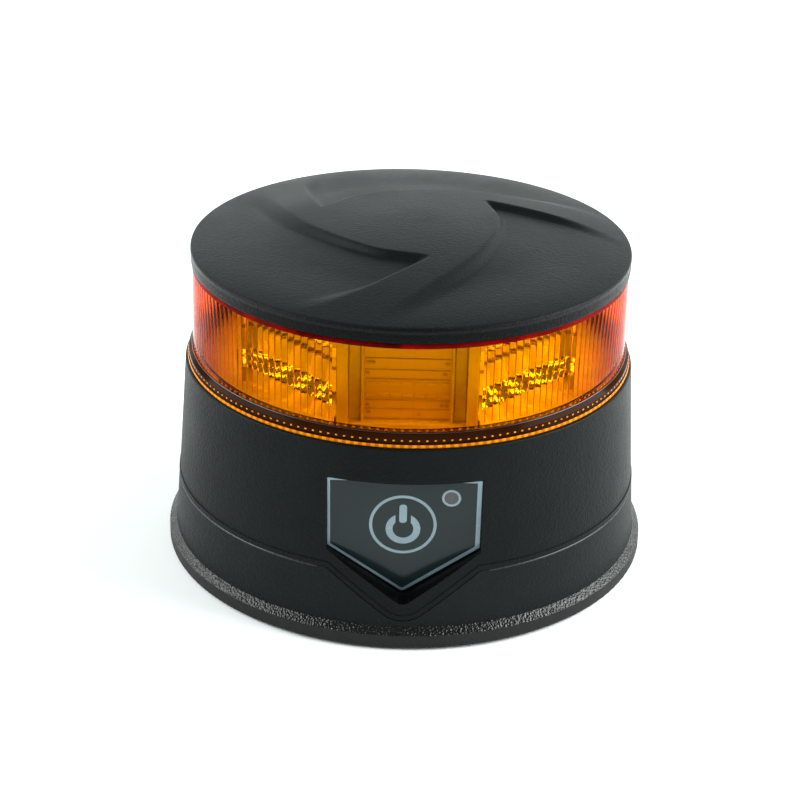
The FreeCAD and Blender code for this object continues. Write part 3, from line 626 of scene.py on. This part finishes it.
def make_bead_band():
    """Amber band round the lens flange that swells once for each flute."""
    per = 8
    segments = FLUTES * per
    a = FRONT + np.arange(segments) * FLUTE_PITCH / per
    swell = np.cos(2 * math.pi * (np.arange(segments) + 0.5) / per)
    verts = []
    for v, out in ((-1.0, 0.0), (-0.7, 0.6), (-0.2, 1.0), (0.2, 1.0), (0.7, 0.6), (1.0, 0.0)):
        r = 61.13 + out * (0.13 + 0.05 * swell)
        verts += list(zip((r * np.cos(a)).tolist(), (r * np.sin(a)).tolist(), [56.42 + v * 0.46] * segments))
    looks = [0 if swell[i % segments] > -0.3 else 1 for i in range(5 * segments)]
    add_mesh("lens_bead_band", verts, grid_faces(6, segments), looks=[BEAD, BEAD_DEEP],
             face_looks=looks)


def make_bumps(name, r, z, high, wide, deep, look, pointed=False):
    """Row of small bumps round the lens, one to each flute; pointed ones narrow towards their top."""
    verts, faces = [], []
    for k in range(FLUTES):
        base = len(verts)
        a0 = FRONT + (k + 0.5) * FLUTE_PITCH
        for i in range(5):
            v = -1 + 2 * i / 4
            narrow = 0.55 - 0.45 * v if pointed else 1.0
            for j in range(7):
                u = -1 + 2 * j / 6
                out = deep * max(0.0, 1 - u * u) ** 0.5 * max(0.0, 1 - v * v) ** 0.5
                b = a0 + u * narrow * wide / r
                verts.append(((r + out) * math.cos(b), (r + out) * math.sin(b), z + v * high))
        faces += [tuple(base + q for q in f) for f in grid_faces(5, 7, wrap=False)]
    add_mesh(name, verts, faces, looks=[look])


# ---------------------------------------------------------------- light engine
def place_module(verts, k):
    """Turns points given as (out, along, up) to module k, 0 facing the front."""
    a = FRONT + k * 2 * math.pi / MODULES
    c, s = math.cos(a), math.sin(a)
    return [(o * c - w * s, o * s + w * c, z) for o, w, z in verts]


def reflector_surface():
    """One module: satin scalloped walls, three rows of mirrored cups, a groove painted dark as shade, and a
    plain back.
    """
    half, front = 18.2, 44.95
    z = np.linspace(MODULE_LOW, MODULE_HIGH, 170)
    w = np.linspace(-half, half, 274)
    zz, ww = np.meshgrid(z, w, indexing="ij")
    column = np.abs(np.sin(math.pi * ww / 2.0))
    knots_z = [53.6, 54.2, 58.2, 58.4, 60.7, 60.9, 63.3, 63.6, 69.3, 69.6, 70.4, 70.8, 73.0, 73.2, 75.6, 81.0]
    knots_o = [44.9, 44.0, 43.0, 43.7, 42.2, 43.2, 41.6, 42.3, 41.6, 40.4, 40.4, 41.8, 42.2, 42.9, 43.6, 44.9]
    out = np.interp(zz - 0.45 * column * ((zz > 66) & (zz < 74)), knots_z, knots_o)
    rows = 0.28 * column
    for z0, z1, high in ((58.3, 60.8, 0.7), (60.8, 63.4, 0.7), (73.1, 75.6, 0.6)):
        t = np.clip((zz - z0) / (z1 - z0), 0, 1)
        rows = rows + high * column * np.sin(math.pi * t) ** 0.6 * ((zz >= z0) & (zz <= z1))
    edge = ramp((half - np.abs(ww)) / 0.5)
    out = np.minimum(out + rows * edge, front)
    out = np.where(np.abs(ww) > 17.4, front, out)
    verts = list(zip(out.ravel().tolist(), ww.ravel().tolist(), zz.ravel().tolist()))
    faces = grid_faces(len(z), len(w), wrap=False)
    mid = [verts[f[0]][2] for f in faces]
    # Faces in the groove take the dark groove look, a painted shade.
    looks = [0 if 58.3 < m < 63.4 or 73.1 < m < 75.6 else 2 if 69.5 < m < 70.5 else 1 for m in mid]
    start = len(verts)
    nz, nw = len(z), len(w)
    border = [i * nw for i in range(nz)] + [(nz - 1) * nw + j for j in range(1, nw)]
    border += [i * nw + nw - 1 for i in range(nz - 2, -1, -1)] + [j for j in range(nw - 2, 0, -1)]
    verts += [(MODULE_BACK, verts[i][1] * 0.885, verts[i][2]) for i in border]
    n = len(border)
    for j in range(n):
        k = (j + 1) % n
        faces.append((border[j], border[k], start + k, start + j))
        looks.append(0)
    faces.append(tuple(range(start + n - 1, start - 1, -1)))
    looks.append(0)
    return verts, faces, looks


def make_reflectors():
    verts, faces, looks = reflector_surface()
    for k in range(1, MODULES):
        obj = add_mesh(f"reflector_{k + 1}", place_module(verts, k), faces,
                       looks=[REFLECTOR, SATIN, GROOVE_SHADE], face_looks=looks, replaces=[f"optic_{k + 1}"])
        sharpen(obj, 60)


def make_reflector_base():
    """Satin dish under the modules that closes the lamp's floor out to the lens."""
    profile = rounded([(40.0, 53.3, 0), (56.2, 53.3, 0.1), (56.2, 55.4, 0.2), (50.0, 54.3, 0.5),
                       (45.0, 53.8, 0), (40.0, 53.8, 0)], 3)
    verts, faces = revolve_closed(profile)
    sharpen(add_mesh("reflector_base", verts, faces, looks=[SATIN]), 40)


def boxes(items):
    """Vertices and faces of several chamfered blocks given as (o0, o1, w0, w1, z0, z1, chamfer)."""
    verts, faces = [], []
    for o0, o1, w0, w1, z0, z1, c in items:
        b = len(verts)
        for o, d in ((o0, 0.0), (o1 - c, 0.0), (o1, c)):
            verts += [(o, w0 + d, z0 + d), (o, w1 - d, z0 + d), (o, w1 - d, z1 - d), (o, w0 + d, z1 - d)]
        for i in range(2):
            for j in range(4):
                k = (j + 1) % 4
                faces.append((b + 4 * i + j, b + 4 * i + k, b + 4 * i + 4 + k, b + 4 * i + 4 + j))
        faces.append((b + 8, b + 9, b + 10, b + 11))
        faces.append((b + 3, b + 2, b + 1, b))
    return verts, faces


def make_front_module():
    """Front module: a plain board with two rows of small lamps and fine parts, between two stepped posts."""
    top, low = MODULE_HIGH, MODULE_LOW
    posts = []
    for s in (-1, 1):
        spans = [(15.4, 18.3, 44.9), (12.2, 15.3, 42.4), (11.4, 12.1, 43.4)]
        for w0, w1, out in spans:
            a, b = sorted((s * w0, s * w1))
            posts.append((MODULE_BACK, out, a, b, low, top, 0.18))
    posts.append((MODULE_BACK, 44.6, -18.3, 18.3, top - 1.3, top, 0.2))
    posts.append((MODULE_BACK, 44.6, -18.3, 18.3, low, low + 1.2, 0.2))
    verts, faces = boxes(posts)
    add_mesh("front_module_frame", place_module(verts, 0), faces, looks=[FRAME_WHITE],
             smooth=False, replaces=["optic_1"])
    face = [(40.0, 42.3, -11.4, 11.4, low + 0.3, top - 0.4, 0.05)]
    for z in (65.3, 62.0):
        for j in range(7):
            w = (j - 3) * 3.1
            face.append((42.2, 42.75, w - 1.42, w + 1.42, z - 0.5, z + 0.5, 0.12))
    verts, faces = boxes(face)
    add_mesh("front_module_board", place_module(verts, 0), faces, looks=[WHITE_BOARD],
             smooth=False)
    tracks = (72.4, 69.2, 66.6, 60.6, 58.1, 55.4)
    chips = ((71.2, -10.2), (71.2, -9.0), (71.0, 10.2), (68.2, -10.4), (68.2, 9.6), (59.2, -10.3),
             (59.2, 10.2), (59.3, 9.0), (57.0, -10.0), (56.6, 3.2))
    parts = [(42.2, 42.6, -11.0, 11.0, z - 0.11, z + 0.11, 0.06) for z in tracks]
    parts += [(42.2, 42.7, w - 0.5, w + 0.5, z - 0.3, z + 0.3, 0.06) for z, w in chips]
    verts, faces = boxes(parts)
    add_mesh("front_module_parts", place_module(verts, 0), faces, looks=[SOLDER],
             smooth=False)


# ---------------------------------------------------------------- seam
def make_seam_edge():
    """Polished upper edge of the skirt, which catches the light along the seam either side of the tongue."""
    top_r = RIM_R + (RIM_Z - PARTING_Z) * DRAFT + 0.15
    profile = [(top_r - 0.02, PARTING_Z - 0.62), (top_r + 0.03, PARTING_Z - 0.36),
               (top_r - 0.08, PARTING_Z - 0.16), (top_r - 0.22, PARTING_Z - 0.02),
               (top_r - 0.36, PARTING_Z + 0.02)]
    start, count = math.radians(20.5), 640
    a = FRONT + np.linspace(start, 2 * math.pi - start, count)
    verts = [(r * c, r * s, z) for r, z in profile for c, s in zip(np.cos(a), np.sin(a))]
    faces = grid_faces(len(profile), count, wrap=False)
    add_mesh("seam_edge", verts, faces, looks=[EDGE])


# ---------------------------------------------------------------- control panel
def on_panel(u, v, lift=0.0):
    """Point on the tilted panel face: u across, v down from the top edge, lift towards the viewer."""
    t = PANEL_TILT
    y = PANEL_TOP_Y + v * math.sin(t) - lift * math.cos(t)
    z = PANEL_TOP_Z - v * math.cos(t) - lift * math.sin(t)
    return (u, y, z)


def plate_piece(name, outline, holes, lift, thick, look, body, replaces=()):
    """Flat piece of the panel, from an outline and holes in (u, v); its front stands lift above the panel."""
    bm = bmesh.new()
    edges = []
    for ring in [outline] + list(holes):
        vs = [bm.verts.new(Vector(on_panel(u, v, lift)) * MM) for u, v in ring]
        edges += [bm.edges.new((vs[i], vs[(i + 1) % len(vs)])) for i in range(len(vs))]
    bmesh.ops.triangle_fill(bm, use_beauty=True, edges=edges)
    back = Vector((0, math.cos(PANEL_TILT), math.sin(PANEL_TILT)))
    for f in bm.faces:
        f.normal_update()
        if f.normal.dot(back) > 0:
            f.normal_flip()
    made = bmesh.ops.extrude_face_region(bm, geom=list(bm.faces))
    for v in [g for g in made["geom"] if isinstance(g, bmesh.types.BMVert)]:
        v.co += back * thick * MM
    bmesh.ops.recalc_face_normals(bm, faces=list(bm.faces))
    mesh = bpy.data.meshes.new(name)
    bm.to_mesh(mesh)
    bm.free()
    mesh.materials.append(look)
    obj = bpy.data.objects.new(name, mesh)
    bpy.context.scene.collection.objects.link(obj)
    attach(obj, body)
    if replaces:
        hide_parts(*replaces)


def print_piece(name, outline, holes=(), body="power_button"):
    """Raised printed line or symbol on the panel."""
    plate_piece(name, outline, holes, PRINT_HIGH, PRINT_HIGH, PRINT, body)


def circle(u, v, r, n=96):
    return [(u + r * math.cos(2 * math.pi * i / n), v + r * math.sin(2 * math.pi * i / n)) for i in range(n)]


def make_panel():
    """Shield-shaped plate with its light window, and the round power key set flush in it."""
    plate = round_corners([(-19.95, 0.1), (19.75, 0.1), (19.7, 20.2), (0.0, 34.3), (-19.85, 20.3)],
                          [0.2, 0.2, 0.3, 1.6, 0.3])
    holes = [circle(*KEY_CENTRE, 8.80), circle(*LIGHT_CENTRE, 1.86)]
    plate_piece("panel_sheet", plate, holes, 0.0, 1.6, PANEL_FILM, "beacon", ["panel_plate"])
    disc = circle(*KEY_CENTRE, 8.785)
    plate_piece("key_disc", disc, [], 0.0, 2.0, PANEL_FILM, "power_button", ["power_key"])


def make_print():
    """Border, light ring, key ring and power symbol printed on the panel and its key."""
    outer = [(-19.95, 0.12), (-19.85, 20.15), (-0.2, 34.05), (19.72, 20.1), (19.78, 0.12)]
    inner = [(-19.25, 0.78), (-19.15, 19.8), (-0.25, 33.1), (18.55, 19.75), (18.6, 0.78)]
    print_piece("panel_border", round_corners(outer, [0.1, 0.1, 1.4, 0.1, 0.1]),
                [round_corners(inner, [0.1, 0.1, 1.0, 0.1, 0.1])], "beacon")
    print_piece("light_ring", circle(*LIGHT_CENTRE, 2.45, 64), [circle(*LIGHT_CENTRE, 1.84, 64)], "beacon")
    print_piece("key_ring", circle(*KEY_CENTRE, 8.74), [circle(*KEY_CENTRE, 7.95)])
    centre, outer_r, inner_r, gap = (-0.3, 14.9), 4.5, 2.7, 2.0
    a_out, a_in = math.asin(gap / outer_r), math.asin(gap / inner_r)
    arc = []
    for t in np.linspace(a_out, 2 * math.pi - a_out, 90):
        arc.append((centre[0] + outer_r * math.sin(t), centre[1] - outer_r * math.cos(t)))
    for t in np.linspace(2 * math.pi - a_in, a_in, 70):
        arc.append((centre[0] + inner_r * math.sin(t), centre[1] - inner_r * math.cos(t)))
    print_piece("power_arc", arc)
    bar = [(-1.32, 7.65), (0.64, 7.65), (0.64, 13.1), (-1.32, 13.1)]
    print_piece("power_bar", round_corners(bar, [0.9] * len(bar)))


# ---------------------------------------------------------------- stage and light
def make_stage():
    """Pale paper floor under a dim, slightly cool sky."""
    mesh = bpy.data.meshes.new("floor")
    mesh.from_pydata([(-6, -6, 0), (6, -6, 0), (6, 6, 0), (-6, 6, 0)], [], [(0, 1, 2, 3)])
    floor = bpy.data.objects.new("floor", mesh)
    s = Shader("floor_paper", Roughness=0.85, Specular_IOR_Level=0.1)
    s.set(Base_Color=s.colours(s.noise(8.0, 3.0), (0.90, 0.90, 0.90), (0.92, 0.92, 0.92)))
    mesh.materials.append(s.m)
    bpy.context.scene.collection.objects.link(floor)
    world = bpy.data.worlds.new("world")
    world.use_nodes = True
    sky = world.node_tree.nodes["Background"].inputs
    sky["Color"].default_value = (0.93, 1.0, 0.99, 1.0)
    sky["Strength"].default_value = 0.36
    bpy.context.scene.world = world


def softbox(name, place, size, power):
    """Rectangular studio light of a size in metres and a power in watts, aimed at the beacon's middle."""
    target = Vector((0, 0, 0.05))
    data = bpy.data.lights.new(name, "AREA")
    data.shape, data.size, data.size_y = "RECTANGLE", size[0], size[1]
    data.energy, data.color = power, SOFTBOX_TINT
    light = bpy.data.objects.new(name, data)
    light.location = place
    light.rotation_euler = (target - Vector(place)).to_track_quat("-Z", "Y").to_euler()
    bpy.context.scene.collection.objects.link(light)


make_cap()
make_lens_wall()
make_lens_foot()
make_bead_band()
make_bumps("lens_beads_high", 60.98, 57.95, 0.20, 0.28, 0.07, BEAD)
make_bumps("lens_teeth", 59.74, 60.35, 0.34, 0.52, 0.06, GROOVE_RED, pointed=True)
make_reflectors()
make_reflector_base()
make_front_module()
make_seam_edge()
make_panel()
make_print()
make_stage()
softbox("back", (0.0, 1.3, 0.55), (2.6, 1.0), 11.5)
softbox("left", (-1.1, 0.05, 0.65), (1.2, 0.9), 25.0)
softbox("right", (1.1, 0.05, 0.65), (1.2, 0.9), 40.0)

scene = bpy.context.scene
scene.view_settings.view_transform = "Standard"
